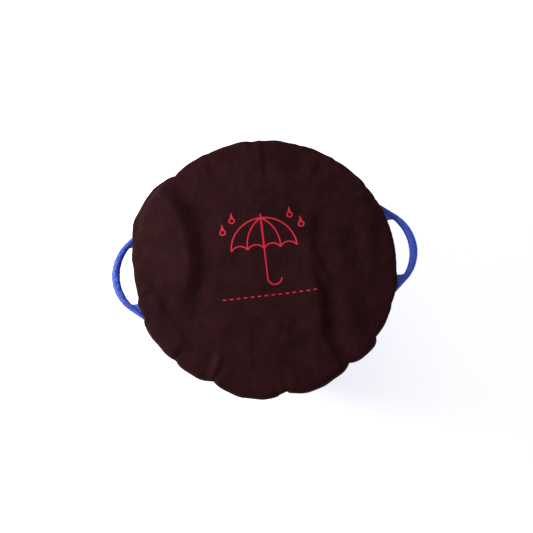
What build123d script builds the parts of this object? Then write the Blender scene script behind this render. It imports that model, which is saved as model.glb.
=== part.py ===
"""Flexible two-handled tub with an elasticated rain cover stretched over its mouth.

+Z is up and +X runs through the handles. The origin is under the middle of the base.
"""

import os
from math import cos, radians, sin, sqrt

from build123d import *

os.makedirs("parts", exist_ok=True)

# Tub: one soft polyethylene moulding
tub_height = 340.0
rim_radius = 225.0
mouth_radius = 217.5
floor_radius = 165.0
wall = 3.2
floor_top = 6.0
foot_depth = 2.0
foot_width = 14.0
rim_depth = 7.0
rim_round = 3.0
floor_corner = 8.0

# Handles: bars that flex about a line across their two roots
hinge_x = 225.0
grip_out_x = 272.0
grip_in_x = 257.0
grip_thickness = 11.0
grip_round = 3.4
outer_arc_centre_x = 191.0
corner_x = 240.0
corner_y = 50.0
root_width = 10.0
web_thickness = 3.4
below_rim = 17.5
web_lap = 5.0
running_gap = 0.3

# Lugs that carry the handle roots: a side outline, measured from the line of flexing
lug_inner_y = 49.0
lug_outer_y = 75.0
lug_outline = [(-20, 10), (-14, 10), (-12.5, 5.7), (-5.2, 5.7), (-3.4, -6.2), (-10, -26), (-20, -30)]

# Cover: woven panel with a short skirt
cloth = 1.2
cloth_gap = 0.3
skirt_gap = 0.4
skirt_depth = 37.0

# Hem: a gathered tunnel, low at front and back, and high over the handle roots
hem_low = 42.0
hem_high = 6.6
hem_low_radius = 221.5
hem_high_radius = 227.3
hem_low_half = (5.0, 6.0)
hem_high_half = (1.6, 4.8)
tunnel_low_half = (3.4, 4.4)
tunnel_high_half = (1.0, 3.9)
skirt_lap = 0.6
ramp_start = 21.0
ramp_end = 40.0
section_step = 5

# Inside the hem: a flat elastic, the lap that joins its ends, and the stitching through the hem
elastic_thickness = 1.0
elastic_width = 4.4
join_length = 16.0
join_thickness = 2.4
join_width = 5.2
join_round = 0.8
thread_radius = 0.4
thread_sides = 6
thread_out = 0.95
thread_up = 0.63

# Emblem: an umbrella in the rain, over a row of dashes
ink = 0.2
stroke = 3.6
canopy_radius = 58.0
canopy_y = 18.0
canopy_panels = 4
scallop = 9.0
rib_out = 0.78
rib_up = 0.58
ferrule = 8.0
crook_radius = 12.0
crook_y = -36.0
drop_radius = 4.6
drop_height = 15.0
drop_shoulder = 1.9
drop_places = [(70, 56), (52, 76)]
dash_count = 14
dash_pitch = 12.0
dash_length = 7.0
dash_width = 3.0
dash_y = -66.0

# How far a cutting shape runs past what it cuts
past = 5.0

taper = (mouth_radius - floor_radius) / (tub_height - floor_top)
grip_z = tub_height - below_rim
nose_radius = grip_thickness / 2
panel_bottom = tub_height + cloth_gap
panel_top = panel_bottom + cloth
skirt_inside = rim_radius + skirt_gap
skirt_outside = skirt_inside + cloth


def finish(piece, label):
    """Names a finished piece and writes it to its own file."""
    piece.part.label = label
    export_step(piece.part, f"parts/{label}.step")


# ---- tub body ----
foot_outside = floor_radius + wall - taper * floor_top
neck_radius = mouth_radius + wall - taper * rim_depth

with BuildPart() as tub_body:
    # A lug with a round seat carries each handle root
    with BuildSketch(Plane.XZ.offset(lug_outer_y)):
        with BuildLine():
            Polyline(*[(hinge_x + out, grip_z + up) for out, up in lug_outline], close=True)
        make_face()
    extrude(amount=lug_inner_y - lug_outer_y)
    mirror(about=Plane.XZ)
    mirror(about=Plane.YZ)
    # Outside of the bowl, its foot ring and its rim
    with BuildSketch(Plane.XZ) as outside:
        with BuildLine():
            Polyline(
                (0, foot_depth),
                (foot_outside - foot_width, foot_depth),
                (foot_outside - foot_width, 0),
                (foot_outside, 0),
                (neck_radius, tub_height - rim_depth),
                (rim_radius, tub_height - rim_depth),
                (rim_radius, tub_height),
                (0, tub_height),
                close=True,
            )
        make_face()
        fillet(outside.vertices().group_by(Axis.X)[-1], radius=rim_round)
    revolve(axis=Axis.Z)
    # Hollow inside, with a softened corner round the floor
    with BuildSketch(Plane.XZ) as inside:
        with BuildLine():
            Polyline(
                (0, floor_top),
                (floor_radius, floor_top),
                (mouth_radius, tub_height),
                (mouth_radius, tub_height + past),
                (0, tub_height + past),
                close=True,
            )
        make_face()
        fillet(inside.vertices().sort_by(Axis.Y)[:2].sort_by(Axis.X)[-1], radius=floor_corner)
    revolve(axis=Axis.Z, mode=Mode.SUBTRACT)
    with Locations((hinge_x, 0, grip_z), (-hinge_x, 0, grip_z)):
        Cylinder(
            nose_radius + running_gap,
            2 * (lug_outer_y + past),
            rotation=(90, 0, 0),
            mode=Mode.SUBTRACT,
        )
finish(tub_body, "tub_body")

# ---- handles ----
outer_arc_radius = grip_out_x - outer_arc_centre_x
root_outer_y = sqrt(outer_arc_radius**2 - (hinge_x - outer_arc_centre_x) ** 2)
root_inner_y = root_outer_y - root_width

with BuildPart() as right_handle:
    with BuildSketch(Plane.XY.offset(grip_z - grip_thickness / 2)):
        with BuildLine():
            ThreePointArc((hinge_x, -root_outer_y), (grip_out_x, 0), (hinge_x, root_outer_y))
            Polyline((hinge_x, root_outer_y), (hinge_x, root_inner_y), (corner_x, corner_y))
            ThreePointArc((corner_x, corner_y), (grip_in_x, 0), (corner_x, -corner_y))
            Polyline((corner_x, -corner_y), (hinge_x, -root_inner_y), (hinge_x, -root_outer_y))
        make_face()
    extrude(amount=grip_thickness)
    fillet(right_handle.edges().filter_by(GeomType.CIRCLE), radius=grip_round)
    # A thin web fills the corner between the bar and each root, and laps into both
    with BuildSketch(Plane.XY.offset(grip_z - web_thickness / 2)):
        for side in (-1, 1):
            with BuildLine():
                Polyline(
                    (hinge_x, side * corner_y),
                    (corner_x, side * corner_y),
                    (corner_x + web_lap, side * (corner_y + web_lap)),
                    (hinge_x, side * (root_inner_y + web_lap)),
                    close=True,
                )
            make_face()
    extrude(amount=web_thickness)
    # The root ends in a round nose on the line that it flexes about
    nose_middle = (corner_y + root_outer_y) / 2
    with Locations((hinge_x, nose_middle, grip_z), (hinge_x, -nose_middle, grip_z)):
        Cylinder(nose_radius, root_outer_y - corner_y, rotation=(90, 0, 0))
finish(right_handle, "right_handle")

with BuildPart() as left_handle:
    add(mirror(right_handle.part, about=Plane.YZ, mode=Mode.PRIVATE))
finish(left_handle, "left_handle")

# ---- the hem's path: low at front and back, high over the handle roots ----
def climb(angle):
    """0 over the handle roots and 1 round the front and back."""
    from_handle = min(angle % 180, 180 - angle % 180)
    share = (from_handle - ramp_start) / (ramp_end - ramp_start)
    share = max(0.0, min(1.0, share))
    return share * share * (3 - 2 * share)


def between(high, low, share):
    return high + (low - high) * share


# ---- cover panel and skirt ----
with BuildPart() as cover_panel:
    with BuildSketch(Plane.XZ):
        with BuildLine():
            Polyline(
                (0, panel_bottom),
                (skirt_inside, panel_bottom),
                (skirt_inside, tub_height - skirt_depth),
                (skirt_outside, tub_height - skirt_depth),
                (skirt_outside, panel_top),
                (0, panel_top),
                close=True,
            )
        make_face()
    revolve(axis=Axis.Z)
    # The skirt's lower edge climbs over the handles with the hem that is sewn to it
    ramp_steps = 6
    ramp = [ramp_start + (ramp_end - ramp_start) * k / ramp_steps for k in range(ramp_steps + 1)]
    climbing = []
    for angle in (0, *ramp):
        share = climb(angle)
        along = between(hem_high_radius, hem_low_radius, share) * sin(radians(angle))
        height = tub_height - between(hem_high, hem_low, share)
        climbing.append((along, height + skirt_lap * between(hem_high_half[1], hem_low_half[1], share)))
    falling = [(-along, height) for along, height in reversed(climbing[1:])]
    below = tub_height - skirt_depth - past
    with BuildSketch(Plane.YZ):
        with BuildLine():
            Polyline(
                (-rim_radius, below),
                *falling,
                *climbing,
                (rim_radius, below),
                close=True,
            )
        make_face()
    extrude(amount=skirt_outside + past, both=True, mode=Mode.SUBTRACT)
finish(cover_panel, "cover_panel")


# ---- hem, elastic and thread: rings along the hem's path ----
def hem_ring(draw_section, out=0.0, up=0.0, mode=Mode.ADD):
    """A closed ring along the hem, in two halves.

    draw_section draws its section for a share of the climb. out and up set its middle
    off the hem's own, as shares of the hem's half sizes.
    """
    for start in (-90, 90):
        sections = []
        for angle in range(start, start + 181, section_step):
            share = climb(angle)
            around = radians(angle)
            half_width = between(hem_high_half[0], hem_low_half[0], share)
            half_height = between(hem_high_half[1], hem_low_half[1], share)
            radius = between(hem_high_radius, hem_low_radius, share) + out * half_width
            height = tub_height - between(hem_high, hem_low, share) + up * half_height
            place = Plane(
                origin=(radius * cos(around), radius * sin(around), height),
                x_dir=(cos(around), sin(around), 0),
                z_dir=(-sin(around), cos(around), 0),
            )
            with BuildSketch(place) as section:
                draw_section(share)
            sections.append(section.sketch)
        loft(sections=sections, mode=mode)


def oval(high_half, low_half):
    """A section that grows from one oval over the handles to another elsewhere."""

    def draw(share):
        Ellipse(between(high_half[0], low_half[0], share), between(high_half[1], low_half[1], share))

    return draw


def elastic_section(share):
    Rectangle(elastic_thickness, elastic_width)


def thread_section(share):
    RegularPolygon(thread_radius, thread_sides)


with BuildPart() as hem_casing:
    hem_ring(oval(hem_high_half, hem_low_half))
    hem_ring(oval(tunnel_high_half, tunnel_low_half), mode=Mode.SUBTRACT)
finish(hem_casing, "hem_casing")

with BuildPart() as elastic:
    hem_ring(elastic_section)
finish(elastic, "elastic")

# The elastic's two ends lap and are tacked together at the back
with BuildPart() as elastic_join:
    with Locations((0, hem_low_radius, tub_height - hem_low)):
        Box(join_length, join_thickness, join_width)
    fillet(elastic_join.edges().filter_by(Axis.X), radius=join_round)
finish(elastic_join, "elastic_join")

with BuildPart() as hem_thread:
    hem_ring(thread_section, out=thread_out, up=thread_up)
finish(hem_thread, "hem_thread")

# ---- emblem ----
canopy_edge = [canopy_radius * (2 * k / canopy_panels - 1) for k in range(canopy_panels + 1)]
apex = (0, canopy_y + canopy_radius)

with BuildPart() as printed_emblem:
    with BuildSketch(Plane.XY.offset(panel_top)):
        # Dome, scalloped edge and ribs
        with BuildLine():
            CenterArc((0, canopy_y), canopy_radius, 0, 180)
        trace(line_width=stroke)
        for left, right in zip(canopy_edge, canopy_edge[1:]):
            with BuildLine():
                ThreePointArc(
                    (left, canopy_y), ((left + right) / 2, canopy_y + scallop), (right, canopy_y)
                )
            trace(line_width=stroke)
        for rib_x in canopy_edge[1:-1]:
            if rib_x == 0:
                continue
            with BuildLine():
                ThreePointArc(
                    apex, (rib_x * rib_out, canopy_y + canopy_radius * rib_up), (rib_x, canopy_y)
                )
            trace(line_width=stroke)
        # Ferrule, shaft and crook
        with BuildLine():
            Line((0, crook_y), (0, apex[1] + ferrule))
        trace(line_width=stroke)
        with BuildLine():
            CenterArc((crook_radius, crook_y), crook_radius, 180, 180)
        trace(line_width=stroke)
        # Raindrops
        for drop_x, drop_y in drop_places:
            for side in (-1, 1):
                with Locations((side * drop_x, drop_y)):
                    Circle(drop_radius + stroke / 2)
                    with Locations((0, drop_height / 2)):
                        Triangle(a=drop_radius * drop_shoulder, b=drop_height, c=drop_height)
                    Circle(drop_radius - stroke / 2, mode=Mode.SUBTRACT)
        with Locations((0, dash_y)):
            with GridLocations(dash_pitch, dash_pitch, dash_count, 1):
                Rectangle(dash_length, dash_width)
    extrude(amount=ink)
finish(printed_emblem, "printed_emblem")
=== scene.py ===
"""Flexible two-handled tub with an elasticated rain cover, dressed around its CAD frame.

Everything is in metres in the frame's own axes: +X through the handles, +Z up.
"""

import math

import bmesh
import bpy
from mathutils import Matrix, Vector, noise


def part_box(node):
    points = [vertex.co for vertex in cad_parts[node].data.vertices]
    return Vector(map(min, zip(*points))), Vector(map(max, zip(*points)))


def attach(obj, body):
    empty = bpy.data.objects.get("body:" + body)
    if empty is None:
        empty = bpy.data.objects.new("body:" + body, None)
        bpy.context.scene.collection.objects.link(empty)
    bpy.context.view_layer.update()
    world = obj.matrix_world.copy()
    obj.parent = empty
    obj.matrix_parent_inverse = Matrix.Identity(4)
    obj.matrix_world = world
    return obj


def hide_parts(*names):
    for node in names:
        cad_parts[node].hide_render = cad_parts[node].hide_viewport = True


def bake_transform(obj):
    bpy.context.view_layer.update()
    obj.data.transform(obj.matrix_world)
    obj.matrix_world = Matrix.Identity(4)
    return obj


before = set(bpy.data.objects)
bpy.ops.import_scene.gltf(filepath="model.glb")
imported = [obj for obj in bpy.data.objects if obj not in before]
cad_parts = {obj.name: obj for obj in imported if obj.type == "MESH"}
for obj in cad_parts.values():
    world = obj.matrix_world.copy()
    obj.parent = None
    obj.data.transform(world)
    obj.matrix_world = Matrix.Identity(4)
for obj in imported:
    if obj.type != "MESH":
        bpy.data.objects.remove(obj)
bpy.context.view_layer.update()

# ---------------------------------------------------------------------------
# Tub. One soft blue polyethylene moulding: bowl, rolled rim and a foot ring.
# It is injection moulded, so it has a satin skin and a gate mark underneath.
# ---------------------------------------------------------------------------
tub_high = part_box("tub_body")[1]
rim_top = tub_high.z
rim_radius = tub_high.x
rim_width = 0.0075
mouth_radius = rim_radius - rim_width
floor_radius = rim_radius - 0.060
floor_height = 0.006
tub_wall = 0.0032
rim_drop = 0.007
wall_slope = (mouth_radius - floor_radius) / (rim_top - floor_height)


def wall_outside(height):
    """Outside radius of the tub's wall at a height."""
    return floor_radius + tub_wall + wall_slope * (height - floor_height)


def rounded(corner, before, after, radius, steps):
    """Points of a round of the given radius at a corner of a profile."""
    corner, before, after = Vector(corner), Vector(before), Vector(after)
    one, two = (before - corner).normalized(), (after - corner).normalized()
    start, end = corner + one * radius, corner + two * radius
    points = []
    for k in range(steps + 1):
        t = k / steps
        points.append(start * (1 - t) ** 2 + corner * 2 * t * (1 - t) + end * t**2)
    return points


def smooth_step(share):
    """Eases a share from 0 to 1, and holds it there outside."""
    share = max(0.0, min(1.0, share))
    return share * share * (3 - 2 * share)


def as_object(mesh_data, name, smooth=True):
    """A linked object with the bmesh's shape, at the origin."""
    mesh = bpy.data.meshes.new(name)
    mesh_data.to_mesh(mesh)
    mesh_data.free()
    for face in mesh.polygons:
        face.use_smooth = smooth
    made = bpy.data.objects.new(name, mesh)
    bpy.context.scene.collection.objects.link(made)
    return made


def spun(profile, steps, closed=False):
    """A bmesh of a profile of (radius, height) points turned once round the Z axis."""
    shape = bmesh.new()
    chain = [shape.verts.new((radius, 0, height)) for radius, height in profile]
    links = list(zip(chain, chain[1:]))
    if closed:
        links.append((chain[-1], chain[0]))
    edges = [shape.edges.new(pair) for pair in links]
    bmesh.ops.spin(
        shape, geom=chain + edges, cent=(0, 0, 0), axis=(0, 0, 1),
        angle=math.tau, steps=steps, use_merge=True,
    )
    bmesh.ops.remove_doubles(shape, verts=shape.verts, dist=1e-6)
    bmesh.ops.recalc_face_normals(shape, faces=shape.faces)
    return shape


class Socket:
    """A shader value that adds its own Math nodes when it is added or multiplied."""

    def __init__(self, tree, output):
        self.tree, self.output = tree, output

    def math(self, operation, *others):
        node = self.tree.nodes.new("ShaderNodeMath")
        node.operation = operation
        for place, value in enumerate((self, *others)):
            plug(self.tree, node.inputs[place], value)
        return Socket(self.tree, node.outputs[0])

    def __add__(self, other):
        return self.math("ADD", other)

    def __mul__(self, other):
        return self.math("MULTIPLY", other)

    __radd__ = __add__
    __rmul__ = __mul__


def plug(tree, place, value):
    """Links a Socket to an input, or sets the input to a plain value."""
    if isinstance(value, Socket):
        tree.links.new(value.output, place)
    else:
        place.default_value = value


class Finish:
    """A material with one Principled shader, and a short way to add nodes to it."""

    def __init__(self, name, **constants):
        self.material = bpy.data.materials.new(name)
        self.material.use_nodes = True
        self.tree = self.material.node_tree
        self.shader = self.tree.nodes["Principled BSDF"]
        for socket, value in constants.items():
            self.shader.inputs[socket.replace("_", " ")].default_value = value

    def node(self, kind, settings=None, output=0, **values):
        """Adds a node of a kind, with its settings first and then its sockets."""
        made = self.tree.nodes.new("ShaderNode" + kind)
        for key, value in (settings or {}).items():
            if key == "stops":
                ramp = made.color_ramp.elements
                while len(ramp) < len(value):
                    ramp.new(0.5)
                for stop, (position, colour) in zip(ramp, value):
                    stop.position, stop.color = position, (*colour, 1)
            else:
                setattr(made, key, value)
        for socket, value in values.items():
            plug(self.tree, made.inputs[socket.replace("_", " ")], value)
        return Socket(self.tree, made.outputs[output])

    def place(self, source="Object"):
        return self.node("TexCoord", output=source)

    def blend_colours(self, factor, one, two):
        """one where factor is 0 and two where it is 1."""
        made = self.tree.nodes.new("ShaderNodeMix")
        made.data_type = "RGBA"
        plug(self.tree, made.inputs[0], factor)
        for place, colour in ((6, one), (7, two)):
            value = colour if isinstance(colour, Socket) else (*colour, 1)
            plug(self.tree, made.inputs[place], value)
        return Socket(self.tree, made.outputs[2])

    def bump(self, height, strength, distance, under=None):
        made = self.tree.nodes.new("ShaderNodeBump")
        made.inputs["Strength"].default_value = strength
        made.inputs["Distance"].default_value = distance
        plug(self.tree, made.inputs["Height"], height)
        if under is not None:
            plug(self.tree, made.inputs["Normal"], under)
        return Socket(self.tree, made.outputs[0])

    def feed(self, **links):
        for socket, value in links.items():
            plug(self.tree, self.shader.inputs[socket.replace("_", " ")], value)
        return self.material


def wall_colour(finish, place, lumps_and_painted_highlight):
    """The tub's blue, faintly clouded, with a painted highlight: paler blue on the raised spots of
    its moulded grain.
    """
    cloud = finish.node("TexNoise", Vector=place, Scale=9.0, Detail=4.0)
    base = finish.blend_colours(cloud, (0.018, 0.044, 0.36), (0.031, 0.068, 0.48))
    # Painted highlight: the grain's raised spots are blended towards a paler blue
    return finish.blend_colours(lumps_and_painted_highlight, base, (0.085, 0.140, 0.64))


def tub_plastic(name, pebble):
    """Soft blue polyethylene. pebble is how strongly the moulded grain stands out, in relief and
    in its painted highlight.
    """
    finish = Finish(name, Specular_IOR_Level=0.32)
    place = finish.place()
    grain = finish.node("TexNoise", Vector=place, Scale=420.0, Detail=3.0, Roughness=0.6)
    lumps_and_painted_highlight = finish.node(
        "TexVoronoi", {"feature": "SMOOTH_F1"}, Vector=place, Scale=165.0, Smoothness=0.6
    )
    scuffs = finish.node(
        "TexNoise", Vector=finish.node("Mapping", Vector=place, Scale=(30, 30, 260)),
        Scale=1.0, Detail=5.0, Roughness=0.7,
    )
    scuffed = finish.node("MapRange", Value=scuffs, From_Min=0.62, From_Max=0.78)
    # pebble scales the painted highlight on the grain here as well as its relief
    pebbled = wall_colour(finish, place, lumps_and_painted_highlight * pebble)
    colour = finish.blend_colours(scuffed * 0.16, pebbled, (0.26, 0.32, 0.72))
    fine = finish.bump(grain, 0.25, 0.0004)
    relief = finish.bump(lumps_and_painted_highlight, 0.35 * pebble + 0.05, 0.0009, under=fine)
    return finish.feed(
        Base_Color=colour, Roughness=0.40 + grain * 0.16 + scuffed * 0.12, Normal=relief
    )


foot_outside = floor_radius + tub_wall - wall_slope * floor_height
foot_inside = foot_outside - 0.014
foot_lift = 0.002
neck = (wall_outside(rim_top - rim_drop), rim_top - rim_drop)
step_height = rim_top - 0.034
step_out = 0.0012
step_top = (wall_outside(step_height) + step_out, step_height + step_out)
rim_foot = (rim_radius, neck[1])
rim_outer = (rim_radius, rim_top)
rim_inner = (mouth_radius, rim_top)
floor_corner = (floor_radius, floor_height)
tub_turns = 224


def low_rib(inside, outside, slope, proud):
    """A low ring under the base, such as the one round the gate where the plastic came in."""
    return [
        (inside, foot_lift), (inside + slope, foot_lift - proud),
        (outside - slope, foot_lift - proud), (outside, foot_lift),
    ]


# The profile runs from the middle of the underside, up the outside and down the inside
tub_profile = [(0.0, foot_lift)]
tub_profile += low_rib(0.0060, 0.0091, 0.0006, 0.0007)
tub_profile += low_rib(0.0500, 0.0532, 0.0008, 0.0006)
tub_profile += [(foot_inside, foot_lift)]
tub_profile += rounded((foot_inside, 0), (foot_inside, foot_lift), (foot_outside, 0), 0.0009, 3)
tub_profile += rounded((foot_outside, 0), (foot_inside, 0), neck, 0.0045, 6)
tub_profile += [(wall_outside(height), height) for height in (0.03, 0.10, 0.20, step_height)]
tub_profile += [step_top]
tub_profile += rounded(neck, step_top, rim_foot, 0.0016, 4)
tub_profile += rounded(rim_foot, neck, rim_outer, 0.0030, 6)
tub_profile += rounded(rim_outer, neck, rim_inner, 0.0034, 7)
tub_profile += rounded(rim_inner, rim_outer, floor_corner, 0.0028, 6)
tub_profile += [
    (mouth_radius - wall_slope * drop, rim_top - drop) for drop in (0.02, 0.08, 0.16, 0.24, 0.30)
]
tub_profile += rounded(floor_corner, rim_inner, (0, floor_height), 0.012, 8)
tub_profile += [(radius, floor_height) for radius in (0.110, 0.055, 0.0)]
tub_profile = [(point[0], point[1]) for point in tub_profile]

tub_shell = as_object(spun(tub_profile, tub_turns), "tub_shell")
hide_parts("tub_body")
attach(tub_shell, "tub")
tub_shell.data.materials.append(tub_plastic("tub wall plastic", pebble=0.25))

# ---------------------------------------------------------------------------
# Handles. Each is moulded in one with the tub: a pebbled bar along the outer edge,
# a thin web in each corner, and a root that runs into the wall under the rim.
# They flex at the roots.
# ---------------------------------------------------------------------------
handle_low, handle_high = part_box("right_handle")
grip_height = (handle_low.z + handle_high.z) / 2
bar_sweep = 0.081
bar_centre_x = handle_high.x - bar_sweep
bar_end = math.radians(78)
straight_from = math.radians(50)
bar_middle_width = 0.0146
bar_end_width = 0.0088
bar_half_height = 0.0055
bar_end_half_height = 0.0048
bar_tip_width = 0.0050
web_half = 0.0016
web_edge_y = 0.0512
narrowed_by = math.radians(58)
root_inner_y = 0.0492
root_outer_y = 0.0885
root_inner_angle = math.degrees(math.asin(root_inner_y / rim_radius))
root_outer_angle = math.degrees(math.asin(root_outer_y / rim_radius))
squareness = 0.8
skin_voxel = 0.00115


def bar_width(angle):
    """Width of the bar at an angle from its middle, in radians."""
    share = min(1.0, abs(angle) / narrowed_by) ** 2
    tip = smooth_step((abs(angle) - straight_from) / (bar_end - straight_from))
    width = bar_middle_width + (bar_end_width - bar_middle_width) * share
    return width + (bar_tip_width - bar_end_width) * tip


def handle_bar():
    """The bar: an oval section swept along an arc that runs straight towards the rim."""
    # A unit circle is swept on a wide ring first, so that each point's angle is plain to read
    wide = 10
    shape = bmesh.new()
    ring = bmesh.ops.create_circle(shape, segments=28, radius=1)["verts"]
    upright = Matrix.Rotation(math.radians(90), 3, "X")
    bmesh.ops.rotate(shape, verts=ring, cent=(0, 0, 0), matrix=upright)
    bmesh.ops.translate(shape, verts=ring, vec=(wide, 0, 0))
    to_start = Matrix.Rotation(-bar_end, 3, "Z")
    bmesh.ops.rotate(shape, verts=ring, cent=(0, 0, 0), matrix=to_start)
    geometry = shape.verts[:] + shape.edges[:]
    bmesh.ops.spin(
        shape, geom=geometry, cent=(0, 0, 0), axis=(0, 0, 1), angle=2 * bar_end, steps=90
    )
    bmesh.ops.holes_fill(shape, edges=[e for e in shape.edges if e.is_boundary], sides=0)
    for vert in shape.verts:
        angle = math.atan2(vert.co.y, vert.co.x)
        across = math.hypot(vert.co.x, vert.co.y) - wide
        # A squarer oval than a plain ellipse, flattened a little on its two broad faces
        across = math.copysign(abs(across) ** squareness, across)
        half = bar_width(angle) / 2
        share = max(0.0, (2 * half - bar_end_width) / (bar_middle_width - bar_end_width))
        tall = bar_end_half_height + (bar_half_height - bar_end_half_height) * share
        out = bar_sweep - half + across * half
        up = math.copysign(abs(vert.co.z) ** squareness, vert.co.z)
        held = max(-straight_from, min(straight_from, angle))
        beyond = (angle - held) * bar_sweep
        vert.co = Vector((
            bar_centre_x + out * math.cos(held) - beyond * math.sin(held),
            out * math.sin(held) + beyond * math.cos(held),
            grip_height + up * tall,
        ))
    bmesh.ops.recalc_face_normals(shape, faces=shape.faces)
    return shape


def handle_web(side):
    """The thin plate between the bar and the rim, on one side."""
    shape = bmesh.new()
    corners = [
        (0.214, web_edge_y), (0.2405, web_edge_y), (0.2440, 0.0500), (0.2475, 0.0555),
        (0.234, 0.0670), (0.2125, 0.0830),
    ]
    outline = [shape.verts.new((x, side * y, grip_height - web_half)) for x, y in corners]
    face = shape.faces.new(outline)
    lifted = bmesh.ops.extrude_face_region(shape, geom=[face])["geom"]
    raised = [item for item in lifted if isinstance(item, bmesh.types.BMVert)]
    bmesh.ops.translate(shape, verts=raised, vec=(0, 0, 2 * web_half))
    bmesh.ops.recalc_face_normals(shape, faces=shape.faces)
    return shape


def handle_root(side):
    """The thickened root on the wall, with a tapering gusset below it."""
    shape = bmesh.new()
    low, high = grip_height - 0.024, grip_height + 0.0062
    # (radius, height) corners, from the gusset's foot in the wall round to the top
    sections = [
        (wall_outside(low) - 0.0018, low), (wall_outside(low) + 0.0004, low),
        (rim_radius - 0.0012, grip_height - 0.0052), (rim_radius + 0.0004, grip_height + 0.0048),
        (rim_radius - 0.0025, high), (wall_outside(high) - 0.0018, high),
    ]
    outline = [shape.verts.new((radius, 0, height)) for radius, height in sections]
    face = shape.faces.new(outline)
    start, end = sorted((side * root_inner_angle, side * root_outer_angle))
    bmesh.ops.rotate(
        shape, verts=shape.verts, cent=(0, 0, 0),
        matrix=Matrix.Rotation(math.radians(start), 3, "Z"),
    )
    bmesh.ops.spin(
        shape, geom=[face, *face.edges, *face.verts], cent=(0, 0, 0), axis=(0, 0, 1),
        angle=math.radians(end - start), steps=12,
    )
    bmesh.ops.recalc_face_normals(shape, faces=shape.faces)
    return shape


def made_one(parts, name, size, rounds):
    """Joins closed shapes into one moulded skin with soft inner corners."""
    whole = bmesh.new()
    for part in parts:
        piece = bpy.data.meshes.new("part")
        part.to_mesh(piece)
        part.free()
        whole.from_mesh(piece)
        bpy.data.meshes.remove(piece)
    blank = as_object(whole, name)
    remesh = blank.modifiers.new("one skin", "REMESH")
    remesh.mode, remesh.voxel_size, remesh.use_smooth_shade = "VOXEL", size, True
    bpy.context.view_layer.update()
    depsgraph = bpy.context.evaluated_depsgraph_get()
    skin = bpy.data.meshes.new_from_object(blank.evaluated_get(depsgraph))
    bpy.data.objects.remove(blank)
    shape = bmesh.new()
    shape.from_mesh(skin)
    bpy.data.meshes.remove(skin)
    for _ in range(rounds):
        bmesh.ops.smooth_vert(
            shape, verts=shape.verts, factor=0.5,
            use_axis_x=True, use_axis_y=True, use_axis_z=True,
        )
    return shape


def grip_plastic(name, contrast, depth):
    """The tub's plastic, with painted highlights on the crowns of the moulded pebbles and painted
    shade in their hollows; depth scales its colour, as painted shade or painted light on the whole
    grip.
    """
    finish = Finish(name, Specular_IOR_Level=0.32)
    place = finish.place()
    pebble = finish.node("Attribute", {"attribute_name": "pebble"}, output=2)
    cloud = finish.node("TexNoise", Vector=place, Scale=60.0, Detail=4.0)
    grain = finish.node("TexNoise", Vector=place, Scale=520.0, Detail=3.0, Roughness=0.6)
    # depth darkens the left grip's blues as painted shade, where the key light falls strongly, and
    # lightens the right grip's as painted light
    dark, mid = Vector((0.013, 0.038, 0.33)) * depth, Vector((0.023, 0.062, 0.45)) * depth
    pale, bright = Vector((0.055, 0.100, 0.60)) * depth, Vector((0.110, 0.170, 0.76)) * depth
    # Painted shade in the hollows between the pebbles and a painted highlight on their crowns; the
    # right grip shows less of both
    painted_shade_hollow = finish.blend_colours(cloud, dark, mid)
    painted_highlight_crown = finish.blend_colours(cloud, pale, bright)
    painted_highlight_share = finish.node("MapRange", Value=pebble, From_Min=0.25, From_Max=0.85) * contrast
    grip = finish.blend_colours(painted_highlight_share + (0.45 - 0.45 * contrast), painted_shade_hollow, painted_highlight_crown)
    root = finish.node("Attribute", {"attribute_name": "root"}, output=2)
    colour = finish.blend_colours(root, grip, wall_colour(finish, place, 0.10))
    rubbed = finish.bump(grain, 0.3, 0.0004)
    relief = finish.bump(cloud, 0.2, 0.001, under=rubbed)
    return finish.feed(Base_Color=colour, Roughness=0.42 + grain * 0.14, Normal=relief)


pebble_pitch = 0.0058
pebble_relief = 0.00085
pebble_middle = 0.45
# The webs take this tone between the painted shade and the painted highlight, set high to paint
# light over the shade the cover casts on them
web_painted_light_tone = 0.55

# The pebbles fade in past this x, and the wall's colour fades out past the rim
pebbled_from = 0.2330
pebbled_run = 0.010
root_reach = 0.0010
root_run = 0.0070

# Name, side, how strongly the pebbles show, and how far the blue is scaled: painted shade on the
# left grip, painted light on the right
grips = (("right", 1, 0.35, 1.16), ("left", -1, 0.90, 0.76))

for name, side_x, contrast, depth in grips:
    parts = [handle_bar()]
    for side in (-1, 1):
        parts += [handle_web(side), handle_root(side)]
    moulding = made_one(parts, name, skin_voxel, rounds=3)
    moulding.normal_update()
    # Moulded pebbles on the bar, worn softer on the right grip, where their painted highlights are
    # fainter too, and fading out at the webs
    pebble_layer = moulding.verts.layers.float.new("pebble")
    root_layer = moulding.verts.layers.float.new("root")
    for vert in moulding.verts:
        flat = vert.co.xy - Vector((bar_centre_x, 0))
        angle = math.atan2(flat.y, flat.x)
        inside = bar_sweep - flat.length < bar_width(angle) + 0.001 or abs(angle) > straight_from
        on_bar = smooth_step((vert.co.x - pebbled_from) / pebbled_run) * (1.0 if inside else 0.0)
        spot = Vector((angle * bar_sweep, flat.length, vert.co.z)) / pebble_pitch
        nearest = noise.voronoi(spot + Vector((0, 0, 9 * side_x)))[0][0]
        lump = max(0.0, 1 - 1.35 * nearest)
        vert[pebble_layer] = on_bar * lump + (1 - on_bar) * web_painted_light_tone
        past_wall = vert.co.xy.length - rim_radius - root_reach
        vert[root_layer] = 1 - smooth_step(past_wall / root_run)
        vert.co += vert.normal * on_bar * pebble_relief * contrast * (lump - pebble_middle)
    if side_x < 0:
        bmesh.ops.scale(moulding, vec=(-1, 1, 1), verts=moulding.verts)
        bmesh.ops.reverse_faces(moulding, faces=moulding.faces)
    handle = as_object(moulding, f"{name}_handle_moulding")
    handle.data.materials.append(grip_plastic(f"{name} grip plastic", contrast, depth))
    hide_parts(f"{name}_handle")
    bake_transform(handle)

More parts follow.
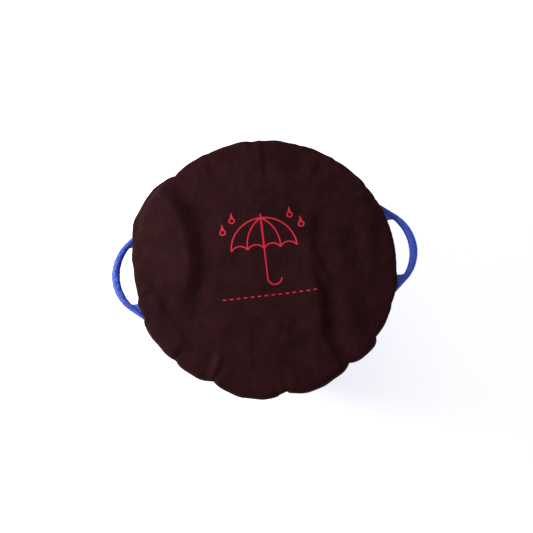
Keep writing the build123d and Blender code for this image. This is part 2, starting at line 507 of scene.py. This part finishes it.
# ---------------------------------------------------------------------------
# Cover panel. A disc of dark maroon coated polyester, cut about 590 mm across and
# drawn over the rim by its elastic. It lies slack, with a deep pleat on the left,
# a few long creases, and a tuck in its edge wherever the elastic gathers it.
# ---------------------------------------------------------------------------
panel_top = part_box("cover_panel")[1].z
cut_radius = 0.294
panel_share = 0.2215
panel_sag = 0.0035
rim_clearance = 0.0016

# The cover sits turned by this many degrees on the tub, and a little towards the back
cover_turn = -0.7
cover_shift = 0.0022

# Radius at which the rim begins to hold the cloth up, and the run over which it does
hold_start = 0.2060
hold_run = 0.0120

# The hem climbs between these angles from a handle's middle, from its low to its high place
climb_start = 21.0
climb_end = 40.0
hem_low_height = rim_top - 0.042
hem_high_height = rim_top - 0.0066
hem_low_radius = 0.2215
hem_high_radius = 0.2273

# The tucks round the edge: angle in degrees, radius in the tuck, and how far the lobe
# after it swells out. Two close together make a step, where one lobe laps the next.
edge_tucks = [
    (2, 0.2268, 0.0006), (24, 0.2268, 0.0012), (31, 0.2270, 0.0018), (50, 0.2270, 0.0020),
    (68, 0.2266, 0.0016), (89, 0.2264, 0.0000), (91.5, 0.2272, 0.0020), (112, 0.2268, 0.0038),
    (130, 0.2266, 0.0000), (132.5, 0.2325, 0.0108), (166, 0.2345, 0.0014), (177, 0.2308, 0.0000),
    (192, 0.2286, 0.0000), (194.5, 0.2332, 0.0012), (201, 0.2308, 0.0000), (203, 0.2350, 0.0038),
    (224, 0.2330, 0.0058), (242, 0.2292, 0.0100), (270, 0.2345, 0.0000), (273, 0.2320, 0.0106),
    (302, 0.2288, 0.0098), (318, 0.2322, 0.0036), (334, 0.2302, 0.0034), (349, 0.2276, 0.0004),
    (362, 0.2268, 0.0006),
]

# The lower this power, the fuller and blunter the lobes between the tucks
lobe_fullness = 0.55


def turned(angle, other):
    """Degrees from other to angle, between -180 and 180."""
    return (angle - other + 180) % 360 - 180


def bell(distance, half_width):
    return math.exp(-((distance / half_width) ** 2))


def edge_at(angle):
    """Radius of the cover's edge at an angle in degrees."""
    sideways = cover_shift * math.sin(math.radians(angle))
    angle = (angle - cover_turn) % 360
    if angle < edge_tucks[0][0]:
        angle += 360
    for (start, low, swell), (end, next_low, _) in zip(edge_tucks, edge_tucks[1:]):
        if start <= angle <= end:
            break
    share = (angle - start) / (end - start)
    lobe = (4 * share * (1 - share)) ** lobe_fullness
    radius = low + (next_low - low) * smooth_step(share) + swell * lobe
    turn = math.radians(angle)
    radius += 0.0005 * math.sin(23 * turn + 0.7) + 0.0004 * math.sin(41 * turn + 2.1)
    return max(rim_radius + rim_clearance, radius + sideways)


def climb(angle):
    """0 over the handle roots and 1 round the front and back."""
    from_handle = min(angle % 180, 180 - angle % 180)
    return smooth_step((from_handle - climb_start) / (climb_end - climb_start))


# Long folds, each along a valley that runs from the back to the front: its points, the
# height and distance of the crest west of it and where that crest's far slope ends, the
# valley's depth, the height and distance of the swell east of it, and how it fades in and out.
long_folds = [
    dict(valley=[(-0.164, 0.166), (-0.138, 0.138), (-0.120, 0.112), (-0.110, 0.078),
                 (-0.103, 0.041), (-0.103, -0.006), (-0.112, -0.049), (-0.126, -0.091),
                 (-0.146, -0.136)],
         crest=0.0098, crest_at=0.032, crest_end=0.112, depth=0.0020, swell=0.0, swell_at=0.045,
         fade=(0.03, 0.52)),
    dict(valley=[(-0.222, 0.022), (-0.192, -0.033), (-0.169, -0.075), (-0.150, -0.111),
                 (-0.132, -0.146)],
         crest=0.0026, crest_at=0.016, crest_end=0.066, depth=0.0002, swell=0.0, swell_at=0.020,
         fade=(0.40, 0.90)),
    dict(valley=[(0.018, 0.226), (0.017, 0.192), (0.016, 0.160), (0.012, 0.120), (0.004, 0.085)],
         crest=0.0018, crest_at=0.008, crest_end=0.060, depth=0.0007, swell=0.0003, swell_at=0.022,
         fade=(0.0, 0.16)),
    dict(valley=[(0.084, -0.010), (0.094, -0.045), (0.103, -0.080), (0.099, -0.115),
                 (0.096, -0.145), (0.106, -0.172), (0.119, -0.200)],
         crest=0.0044, crest_at=0.019, crest_end=0.060, depth=0.0040, swell=0.0034, swell_at=0.034,
         fade=(0.30, 0.98)),
    dict(valley=[(0.106, 0.082), (0.098, 0.040), (0.094, 0.008), (0.108, -0.028), (0.130, -0.068),
                 (0.166, -0.122)],
         crest=0.0030, crest_at=0.018, crest_end=0.046, depth=0.0012, swell=0.0016, swell_at=0.030,
         fade=(0.15, 0.48)),
    dict(valley=[(0.205, 0.110), (0.211, 0.078), (0.212, 0.034), (0.204, -0.006), (0.192, -0.050)],
         crest=0.0030, crest_at=0.024, crest_end=0.052, depth=0.0008, swell=0.0, swell_at=0.015,
         fade=(0.05, 0.55)),
    dict(valley=[(-0.026, -0.120), (-0.034, -0.160), (-0.036, -0.196)],
         crest=0.0008, crest_at=0.012, crest_end=0.030, depth=0.0004, swell=0.0004, swell_at=0.018,
         fade=(0.25, 0.90)),
    dict(valley=[(0.128, 0.178), (0.104, 0.142), (0.084, 0.118)],
         crest=0.0010, crest_at=0.011, crest_end=0.030, depth=0.0006, swell=0.0, swell_at=0.018,
         fade=(0.05, 0.50)),
    dict(valley=[(-0.092, 0.196), (-0.076, 0.160), (-0.066, 0.128)],
         crest=0.0009, crest_at=0.011, crest_end=0.032, depth=0.0005, swell=0.0, swell_at=0.018,
         fade=(0.05, 0.50)),
    dict(valley=[(-0.118, -0.206), (-0.106, -0.166), (-0.104, -0.138)],
         crest=0.0022, crest_at=0.012, crest_end=0.040, depth=0.0016, swell=0.0, swell_at=0.020,
         fade=(0.05, 0.55)),
]


def beside(x, y, points):
    """Signed distance to a line of points, east of it positive, and the share along it."""
    nearest = (9.0, 0.0)
    lengths = [math.dist(a, b) for a, b in zip(points, points[1:])]
    gone, total = 0.0, sum(lengths)
    for (ax, ay), (bx, by), length in zip(points, points[1:], lengths):
        ux, uy = (bx - ax) / length, (by - ay) / length
        along = max(0.0, min(length, (x - ax) * ux + (y - ay) * uy))
        px, py = x - ax - ux * along, y - ay - uy * along
        distance = math.hypot(px, py)
        if distance < abs(nearest[0]):
            side = 1 if ux * py - uy * px >= 0 else -1
            nearest = (side * distance, (gone + along) / total)
        gone += length
    return nearest


def fold_height(x, y):
    """How far the long folds lift or drop the panel at a point."""
    lift = 0.0
    for fold in long_folds:
        distance, share = beside(x, y, fold["valley"])
        if distance < -fold["crest_end"] or distance > 2 * fold["swell_at"]:
            continue
        fade_in, fade_out = fold["fade"]
        strength = smooth_step((share + 0.02) / (fade_in + 0.03))
        strength *= 1 - smooth_step((share - fade_out) / (1.001 - fade_out))
        if distance < -fold["crest_at"]:
            far = (distance + fold["crest_end"]) / (fold["crest_end"] - fold["crest_at"])
            height = fold["crest"] * (0.45 * far + 0.55 * smooth_step(far))
        elif distance < 0:
            near = -distance / fold["crest_at"]
            height = -fold["depth"] + (fold["crest"] + fold["depth"]) * smooth_step(near)
        elif distance < fold["swell_at"]:
            beyond = smooth_step(distance / fold["swell_at"])
            height = -fold["depth"] + (fold["swell"] + fold["depth"]) * beyond
        else:
            height = fold["swell"] * (1 - smooth_step(distance / fold["swell_at"] - 1))
        lift += height * strength
    return lift


# A tuck's crease runs in by the shortest reach or up to the spread further
shortest_tuck = 0.026
tuck_spread = 0.030


def tuck_height(radius, angle, edge):
    """How far the creases that run in from the tucks lift or drop the cloth."""
    lift = 0.0
    for place, (at, low, swell) in enumerate(edge_tucks[:-1]):
        reach = shortest_tuck + tuck_spread * ((place * 7) % 5) / 4
        inward = (edge - radius) / reach
        if inward > 1.0:
            continue
        skew = 0.14 * (((place * 3) % 5) - 2)
        across = math.radians(turned(angle, at)) * radius + skew * (edge - radius)
        width = 0.0034 + 0.0048 * max(0.0, inward)
        if abs(across) > 5 * width:
            continue
        depth = 0.0007 + 0.13 * (edge_tucks[place - 1][2] + swell)
        fading = 1 - smooth_step(inward)
        banks = 0.35 * bell(abs(across) - 2.3 * width, 1.2 * width)
        lift += depth * fading * (banks - bell(across, width))
    return lift


# The cloth lies this far above the rim, and turns down past it round about this radius
resting = rim_top + 0.0009
droop_start = rim_radius - 0.0015
droop_radius = 0.017


def panel_height(x, y):
    """Height of the cloth's upper face over a point of the panel."""
    radius = math.hypot(x, y)
    angle = math.degrees(math.atan2(y, x))
    edge = edge_at(angle)
    share = radius / edge
    # Slack cloth wanders up and down in broad, middling and small waves
    wander = Vector((x * 8, y * 8, 3.1))
    lift = 0.0018 * noise.noise(wander) + 0.0009 * noise.noise(wander * 3.1)
    lift += 0.00035 * noise.noise(wander * 9)
    in_cover = Matrix.Rotation(-math.radians(cover_turn), 2) @ Vector((x, y - cover_shift))
    lift += fold_height(in_cover.x, in_cover.y) + tuck_height(radius, angle - cover_turn, edge)
    height = panel_top + 0.0004 + lift - panel_sag * (1 - share**2)
    # The rim holds the cloth up, and past the rim it droops
    height += max(0.0, resting - height) * smooth_step((radius - hold_start) / hold_run)
    past_rim = max(0.0, radius - droop_start)
    return height - past_rim**2 / (2 * droop_radius)


# Small pleats round the whole hem, and how sharp their crests are
gather_count = 124
gather_sharpness = 1.5


def gathers(angle):
    """0 to 1 across the small pleats that the elastic draws up, unevenly spaced."""
    turn = math.radians(angle)
    wobble = 0.9 * math.sin(5 * turn + 1.0) + 0.7 * math.sin(13 * turn + 0.4)
    wobble += 0.5 * math.sin(31 * turn)
    wave = 0.5 + 0.5 * math.sin(gather_count * turn + 1.6 * wobble)
    return wave**gather_sharpness


def hem_line(angle):
    """(radius, height) of the middle of the hem at an angle."""
    share = climb(angle)
    radius = hem_high_radius + (hem_low_radius - hem_high_radius) * share
    height = hem_high_height + (hem_low_height - hem_high_height) * share
    return radius, height


# Share of the skirt, from the panel's edge to the hem, that turns over the rim
rounding = 0.22
shoulder_width = 0.0050
pleat_depth = (0.0006, 0.0026)


def drape(rho, angle):
    """Where a point of the flat disc lies once the cover is on the tub."""
    turn = math.radians(angle)
    edge = edge_at(angle)
    overhang = edge - rim_radius
    shoulder = edge - shoulder_width - 0.25 * overhang
    if rho <= panel_share:
        radius = shoulder * rho / panel_share
        x, y = radius * math.cos(turn), radius * math.sin(turn)
        return Vector((x, y, panel_height(x, y)))
    share = (rho - panel_share) / (cut_radius - panel_share)
    top = panel_height(shoulder * math.cos(turn), shoulder * math.sin(turn))
    hem_radius, hem_height = hem_line(angle)
    climbing = climb(angle)
    hem_radius += 0.0008 + 0.0026 * climbing
    end_height = hem_height + 0.0030 - 0.0008 * (1 - climbing)
    bend = min(0.0070 + 0.45 * overhang, 0.6 * (top - end_height))
    if share < rounding:
        swing = share / rounding * math.pi / 2
        radius = shoulder + (edge - shoulder) * math.sin(swing)
        height = top - bend * (1 - math.cos(swing))
    else:
        down = (share - rounding) / (1 - rounding)
        fall = 0.35 * down + 0.65 * smooth_step(down)
        radius = edge + (hem_radius - edge) * fall
        height = (top - bend) + (end_height - top + bend) * down
        pleat = pleat_depth[0] + pleat_depth[1] * climbing
        radius += (gathers(angle) - 0.4) * pleat * down**1.3
        clear = rim_radius + 0.0010 if height > rim_top - rim_drop else 0.0
        radius = max(radius, clear)
    return Vector((radius * math.cos(turn), radius * math.sin(turn), height))


# The cloth's pattern is laid out in a square of this width
pattern_width = 0.6


def cut_pattern_map(shape, flat_place):
    """Lays the cloth's own flat pattern on a mesh, one map unit to a pattern's width."""
    layer = shape.loops.layers.uv.new("cut")
    for face in shape.faces:
        for loop, spot in zip(face.loops, flat_place(face)):
            loop[layer].uv = (spot[0] / pattern_width, spot[1] / pattern_width)


cloth_steps = 480
panel_rings = 70
skirt_rings = 26
rings = [panel_share * (k / panel_rings) for k in range(panel_rings + 1)]
rings += [
    panel_share + (cut_radius - panel_share) * (k / skirt_rings) for k in range(1, skirt_rings + 1)
]
flat_disc = spun([(ring, 0.0) for ring in rings], cloth_steps)
for face in flat_disc.faces:
    if face.normal.z < 0:
        face.normal_flip()
cut_pattern_map(flat_disc, lambda face: [loop.vert.co.xy for loop in face.loops])
for vert in flat_disc.verts:
    rho = math.hypot(vert.co.x, vert.co.y)
    vert.co = drape(rho, math.degrees(math.atan2(vert.co.y, vert.co.x)))
cover_cloth = as_object(flat_disc, "cover_cloth")
thickness = cover_cloth.modifiers.new("cloth thickness", "SOLIDIFY")
thickness.thickness, thickness.offset = 0.0005, -1.0


def cover_fabric(name):
    """Dark maroon plain weave with a thin coating, dusty in places."""
    finish = Finish(
        name, Specular_IOR_Level=0.05, Sheen_Weight=0.05, Sheen_Roughness=0.5,
        Sheen_Tint=(0.80, 0.30, 0.34, 1),
    )
    flat = finish.place("UV")
    place = finish.place()
    yarns = [
        finish.node(
            "TexWave", {"wave_type": "BANDS", "bands_direction": direction}, output=1,
            Vector=flat, Scale=260.0, Distortion=0.6, Detail=1.0,
        )
        for direction in ("X", "Y")
    ]
    weave = yarns[0] * yarns[1]
    stretched = finish.node("Mapping", Vector=flat, Scale=(520, 36, 36))
    slub = finish.node("TexNoise", Vector=stretched, Scale=1.0, Detail=2.0)
    dust = finish.node("TexNoise", Vector=place, Scale=6.0, Detail=6.0, Roughness=0.62)
    dusty = finish.node("MapRange", Value=dust, From_Min=0.36, From_Max=0.72)
    patch = finish.node("TexNoise", Vector=place, Scale=34.0, Detail=5.0, Roughness=0.66)
    patchy = finish.node("MapRange", Value=patch, From_Min=0.39, From_Max=0.61)
    cloudy = dusty * 0.5 + patchy * 0.5
    ground = finish.blend_colours(cloudy, (0.0088, 0.0018, 0.0023), (0.0272, 0.0059, 0.0072))
    threads = finish.blend_colours(weave * 0.5 + slub * 0.25, ground, (0.0272, 0.0068, 0.0082))
    relief = finish.bump(weave + slub * 0.3, 0.35, 0.0003)
    crinkle = finish.node("TexNoise", Vector=place, Scale=30.0, Detail=6.0, Roughness=0.62)
    creased = finish.bump(crinkle, 0.60, 0.007, under=relief)
    return finish.feed(Base_Color=threads, Roughness=0.72 + slub * 0.16, Normal=creased)


fabric = cover_fabric("cover weave")
cover_cloth.data.materials.append(fabric)
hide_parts("cover_panel")
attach(cover_cloth, "cover")

# ---------------------------------------------------------------------------
# Hem. The edge of the same cloth, turned under and stitched into a tunnel that the
# elastic gathers: it grips below the rim and climbs over the handle roots.
# ---------------------------------------------------------------------------
hem_steps = 1120
hem_sides = 18
hem_low_half = (0.0050, 0.0060)
hem_high_half = (0.0016, 0.0048)
stitch_section = math.radians(42)

# The hem starts as a plain thin ring of radius 1, so that each point's angles are plain to read
ring_section = [
    (1 + 0.1 * math.cos(math.tau * k / hem_sides), 0.1 * math.sin(math.tau * k / hem_sides))
    for k in range(hem_sides)
]
hem_tube = spun(ring_section, hem_steps, closed=True)


def round_hem(spot):
    """(angle round the tub, angle round the hem's section) of a point of the plain ring."""
    return math.atan2(spot.y, spot.x), math.atan2(spot.z, math.hypot(spot.x, spot.y) - 1)


def hem_pattern(face):
    """The flat places of a face's corners, kept together where the ring closes."""
    middle = round_hem(face.calc_center_median())
    places = []
    for loop in face.loops:
        spot = [
            there + math.tau * round((here - there) / math.tau)
            for here, there in zip(middle, round_hem(loop.vert.co))
        ]
        places.append((spot[0] * cut_radius, spot[1] * hem_low_half[1]))
    return places


def hem_point(angle, section):
    """(radius, height) of the hem's skin: section is 0 outwards, and 90 degrees up."""
    share = climb(angle)
    radius, height = hem_line(angle)
    half_width = hem_high_half[0] + (hem_low_half[0] - hem_high_half[0]) * share
    half_height = hem_high_half[1] + (hem_low_half[1] - hem_high_half[1]) * share
    pleat = (gathers(angle) - 0.5) * (0.35 + 0.65 * share)
    stitched = bell(section - stitch_section, math.radians(24))
    outward = math.cos(section)
    swell = 1 + 0.22 * pleat * (1 - 0.6 * stitched) - 0.10 * stitched
    radius += half_width * outward * (swell if outward > 0 else 1 + 0.10 * pleat)
    radius += 0.0010 * pleat * max(0.0, outward)
    height += half_height * math.sin(section) * (1 + 0.06 * pleat)
    return radius, height


cut_pattern_map(hem_tube, hem_pattern)
for vert in hem_tube.verts:
    turn, section = round_hem(vert.co)
    radius, height = hem_point(math.degrees(turn), section)
    vert.co = Vector((radius * math.cos(turn), radius * math.sin(turn), height))
bmesh.ops.recalc_face_normals(hem_tube, faces=hem_tube.faces)
hem = as_object(hem_tube, "gathered_hem")
hem.data.materials.append(fabric)
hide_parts("hem_casing")
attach(hem, "cover")

# ---------------------------------------------------------------------------
# Hem stitching. One row of black lockstitch along the top of the hem, through both
# layers of the cloth; each stitch is a short bead of thread that bites in at its ends.
# ---------------------------------------------------------------------------
stitch_pitch = 0.0042
stitch_half = (0.00165, 0.00034, 0.00030)
stitch_run = math.tau * 0.226
stitch_count = round(stitch_run / stitch_pitch)

stitching = bmesh.new()
for k in range(stitch_count):
    angle = 360 * k / stitch_count
    places = []
    for step in (-0.4, 0, 0.4):
        there = angle + step * 360 / stitch_count
        radius, height = hem_point(there, stitch_section)
        turn = math.radians(there)
        places.append(Vector((radius * math.cos(turn), radius * math.sin(turn), height)))
    along = (places[2] - places[0]).normalized()
    turn = math.radians(angle)
    outward = Vector((math.cos(turn) * 0.75, math.sin(turn) * 0.75, 0.66))
    across = along.cross(outward).normalized()
    outward = across.cross(along).normalized()
    bead = bmesh.ops.create_uvsphere(stitching, u_segments=6, v_segments=5, radius=1)["verts"]
    turn_to = Matrix((along, across, outward)).transposed().to_4x4()
    size = Matrix.Diagonal((*stitch_half, 1))
    shift = Matrix.Translation(places[1] + outward * stitch_half[2] * 0.6)
    bmesh.ops.transform(stitching, matrix=shift @ turn_to @ size, verts=bead)
thread_row = as_object(stitching, "hem_stitches")
thread_finish = Finish("polyester thread", Specular_IOR_Level=0.3)
twist = thread_finish.node(
    "TexWave", {"wave_type": "BANDS", "bands_direction": "DIAGONAL"}, output=1,
    Vector=thread_finish.place(), Scale=900.0, Distortion=0.5,
)
thread_finish.feed(
    Base_Color=thread_finish.blend_colours(twist, (0.010, 0.004, 0.005), (0.035, 0.014, 0.017)),
    Roughness=0.55 + twist * 0.2, Normal=thread_finish.bump(twist, 0.4, 0.0002),
)
thread_row.data.materials.append(thread_finish.material)
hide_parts("hem_thread")
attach(thread_row, "cover")

# ---------------------------------------------------------------------------
# Elastic. A braided cord runs loose in the hem's tunnel; its ends lap and are tacked
# together at the back. Both are inside the hem, and keep their CAD shapes.
# ---------------------------------------------------------------------------
braid = Finish("braided elastic", Specular_IOR_Level=0.2)
braid_place = braid.place()
strands = braid.node(
    "TexWave", {"wave_type": "RINGS", "rings_direction": "Z"}, output=1,
    Vector=braid_place, Scale=700.0, Distortion=2.0, Detail=1.0,
)
braid.feed(
    Base_Color=braid.blend_colours(strands, (0.006, 0.006, 0.007), (0.045, 0.045, 0.048)),
    Roughness=0.75 + strands * 0.15, Normal=braid.bump(strands, 0.5, 0.0003),
)
for name, finish in (("elastic", braid), ("elastic_join", thread_finish)):
    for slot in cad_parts[name].material_slots:
        slot.material = finish.material

# ---------------------------------------------------------------------------
# Emblem. Red ink screen-printed on the panel: an umbrella in the rain over a row of
# dashes. It is a film on the cloth, so it follows the panel's folds.
# ---------------------------------------------------------------------------
print_low, print_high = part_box("printed_emblem")
print_film = 0.00018
cut_pitch = 0.004
ink_draw_in = 0.0005

print_shape = bmesh.new()
print_shape.from_mesh(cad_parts["printed_emblem"].data)
bmesh.ops.remove_doubles(print_shape, verts=print_shape.verts, dist=1e-6)
bmesh.ops.recalc_face_normals(print_shape, faces=print_shape.faces)
print_shape.normal_update()
# The screened lines come out a little narrower than they are cut
for vert in print_shape.verts:
    vert.co.xy -= vert.normal.xy.normalized() * ink_draw_in
for axis, low, high in ((0, print_low.x, print_high.x), (1, print_low.y, print_high.y)):
    for k in range(1, int((high - low) / cut_pitch) + 1):
        place, normal = Vector((0, 0, 0)), Vector((0, 0, 0))
        place[axis] = low + k * cut_pitch
        normal[axis] = 1
        everything = print_shape.verts[:] + print_shape.edges[:] + print_shape.faces[:]
        bmesh.ops.bisect_plane(
            print_shape, geom=everything, plane_co=place, plane_no=normal, dist=1e-7
        )
for vert in print_shape.verts:
    above = (vert.co.z - print_low.z) / (print_high.z - print_low.z)
    vert.co.z = panel_height(vert.co.x, vert.co.y) + 0.00004 + above * print_film
emblem = as_object(print_shape, "printed_umbrella", smooth=False)

ink = Finish("red screen ink", Specular_IOR_Level=0.25)
ink_place = ink.place()
ink_cloth = ink.node(
    "TexWave", {"wave_type": "BANDS", "bands_direction": "X"}, output=1,
    Vector=ink_place, Scale=430.0, Distortion=0.6,
)
ink_wear = ink.node("TexNoise", Vector=ink_place, Scale=160.0, Detail=4.0, Roughness=0.7)
ink_thin = ink.node("MapRange", Value=ink_wear, From_Min=0.60, From_Max=0.78)
ink_colour = ink.blend_colours(ink_cloth * 0.35, (0.55, 0.008, 0.032), (0.40, 0.006, 0.024))
ink.feed(
    Base_Color=ink.blend_colours(ink_thin * 0.5, ink_colour, (0.20, 0.008, 0.016)),
    Roughness=0.5 + ink_wear * 0.2, Normal=ink.bump(ink_cloth, 0.2, 0.0002),
)
emblem.data.materials.append(ink.material)
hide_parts("printed_emblem")
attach(emblem, "cover")

# ---------------------------------------------------------------------------
# Studio. A plain pale floor, a soft light low on the left and a weaker one behind, in a
# pale room; the camera looks down from slightly in front of the tub.
# ---------------------------------------------------------------------------
floor_reach = 6.0
floor_shape = bmesh.new()
bmesh.ops.create_grid(floor_shape, x_segments=2, y_segments=2, size=floor_reach)
floor = as_object(floor_shape, "studio_floor", smooth=False)
floor_paint = Finish("pale floor", Roughness=0.9, Specular_IOR_Level=0.05, Emission_Strength=0.66)
mottle = floor_paint.node("TexNoise", Vector=floor_paint.place(), Scale=2.0, Detail=2.0)
floor_paint.feed(
    Base_Color=floor_paint.blend_colours(mottle, (0.90, 0.905, 0.90), (0.92, 0.92, 0.915)),
    Emission_Color=floor_paint.blend_colours(mottle, (1.0, 1.0, 1.0), (0.98, 0.98, 0.98)),
)
floor.data.materials.append(floor_paint.material)

# The room is white near the horizon and dimmer overhead
studio = bpy.data.worlds.new("studio")
studio.use_nodes = True
room = studio.node_tree
sky = room.nodes.new("ShaderNodeTexCoord")
parts_of = room.nodes.new("ShaderNodeSeparateXYZ")
shade = room.nodes.new("ShaderNodeValToRGB")
horizon, overhead = shade.color_ramp.elements
horizon.position, horizon.color = 0.10, (0.95, 0.95, 0.95, 1)
overhead.position, overhead.color = 0.55, (0.19, 0.19, 0.19, 1)
room.links.new(sky.outputs["Generated"], parts_of.inputs[0])
room.links.new(parts_of.outputs["Z"], shade.inputs["Fac"])
room.links.new(shade.outputs["Color"], room.nodes["Background"].inputs["Color"])
bpy.context.scene.world = studio
bpy.context.scene.view_settings.view_transform = "Standard"


def soft_light(name, place, size, power):
    """A square area light that faces the middle of the tub's mouth."""
    lamp = bpy.data.lights.new(name, "AREA")
    lamp.shape, lamp.size, lamp.energy = "SQUARE", size, power
    light = bpy.data.objects.new(name, lamp)
    bpy.context.scene.collection.objects.link(light)
    light.location = place
    light.rotation_mode = "QUATERNION"
    light.rotation_quaternion = (Vector(place) - Vector((0, 0, rim_top))).to_track_quat("Z", "Y")


soft_light("key", (-0.80, 0.18, 0.72), 0.5, 12.6)
soft_light("back", (0.0, 1.0, 1.7), 1.2, 6.5)

azimuth = math.radians(-6.6)
elevation = math.radians(74)
camera_distance = 1.0
view_width = 0.925
aim = Vector((0.0, -0.0150, rim_top))
back = Vector((
    math.sin(azimuth) * math.cos(elevation),
    -math.cos(azimuth) * math.cos(elevation),
    math.sin(elevation),
))
camera_data = bpy.data.cameras.new("camera")
camera_data.sensor_width = 36
camera_data.lens = 36 * camera_distance / view_width
camera = bpy.data.objects.new("camera", camera_data)
bpy.context.scene.collection.objects.link(camera)
camera.location = aim + back * camera_distance
camera.rotation_mode = "QUATERNION"
camera.rotation_quaternion = back.to_track_quat("Z", "Y")
bpy.context.scene.camera = camera
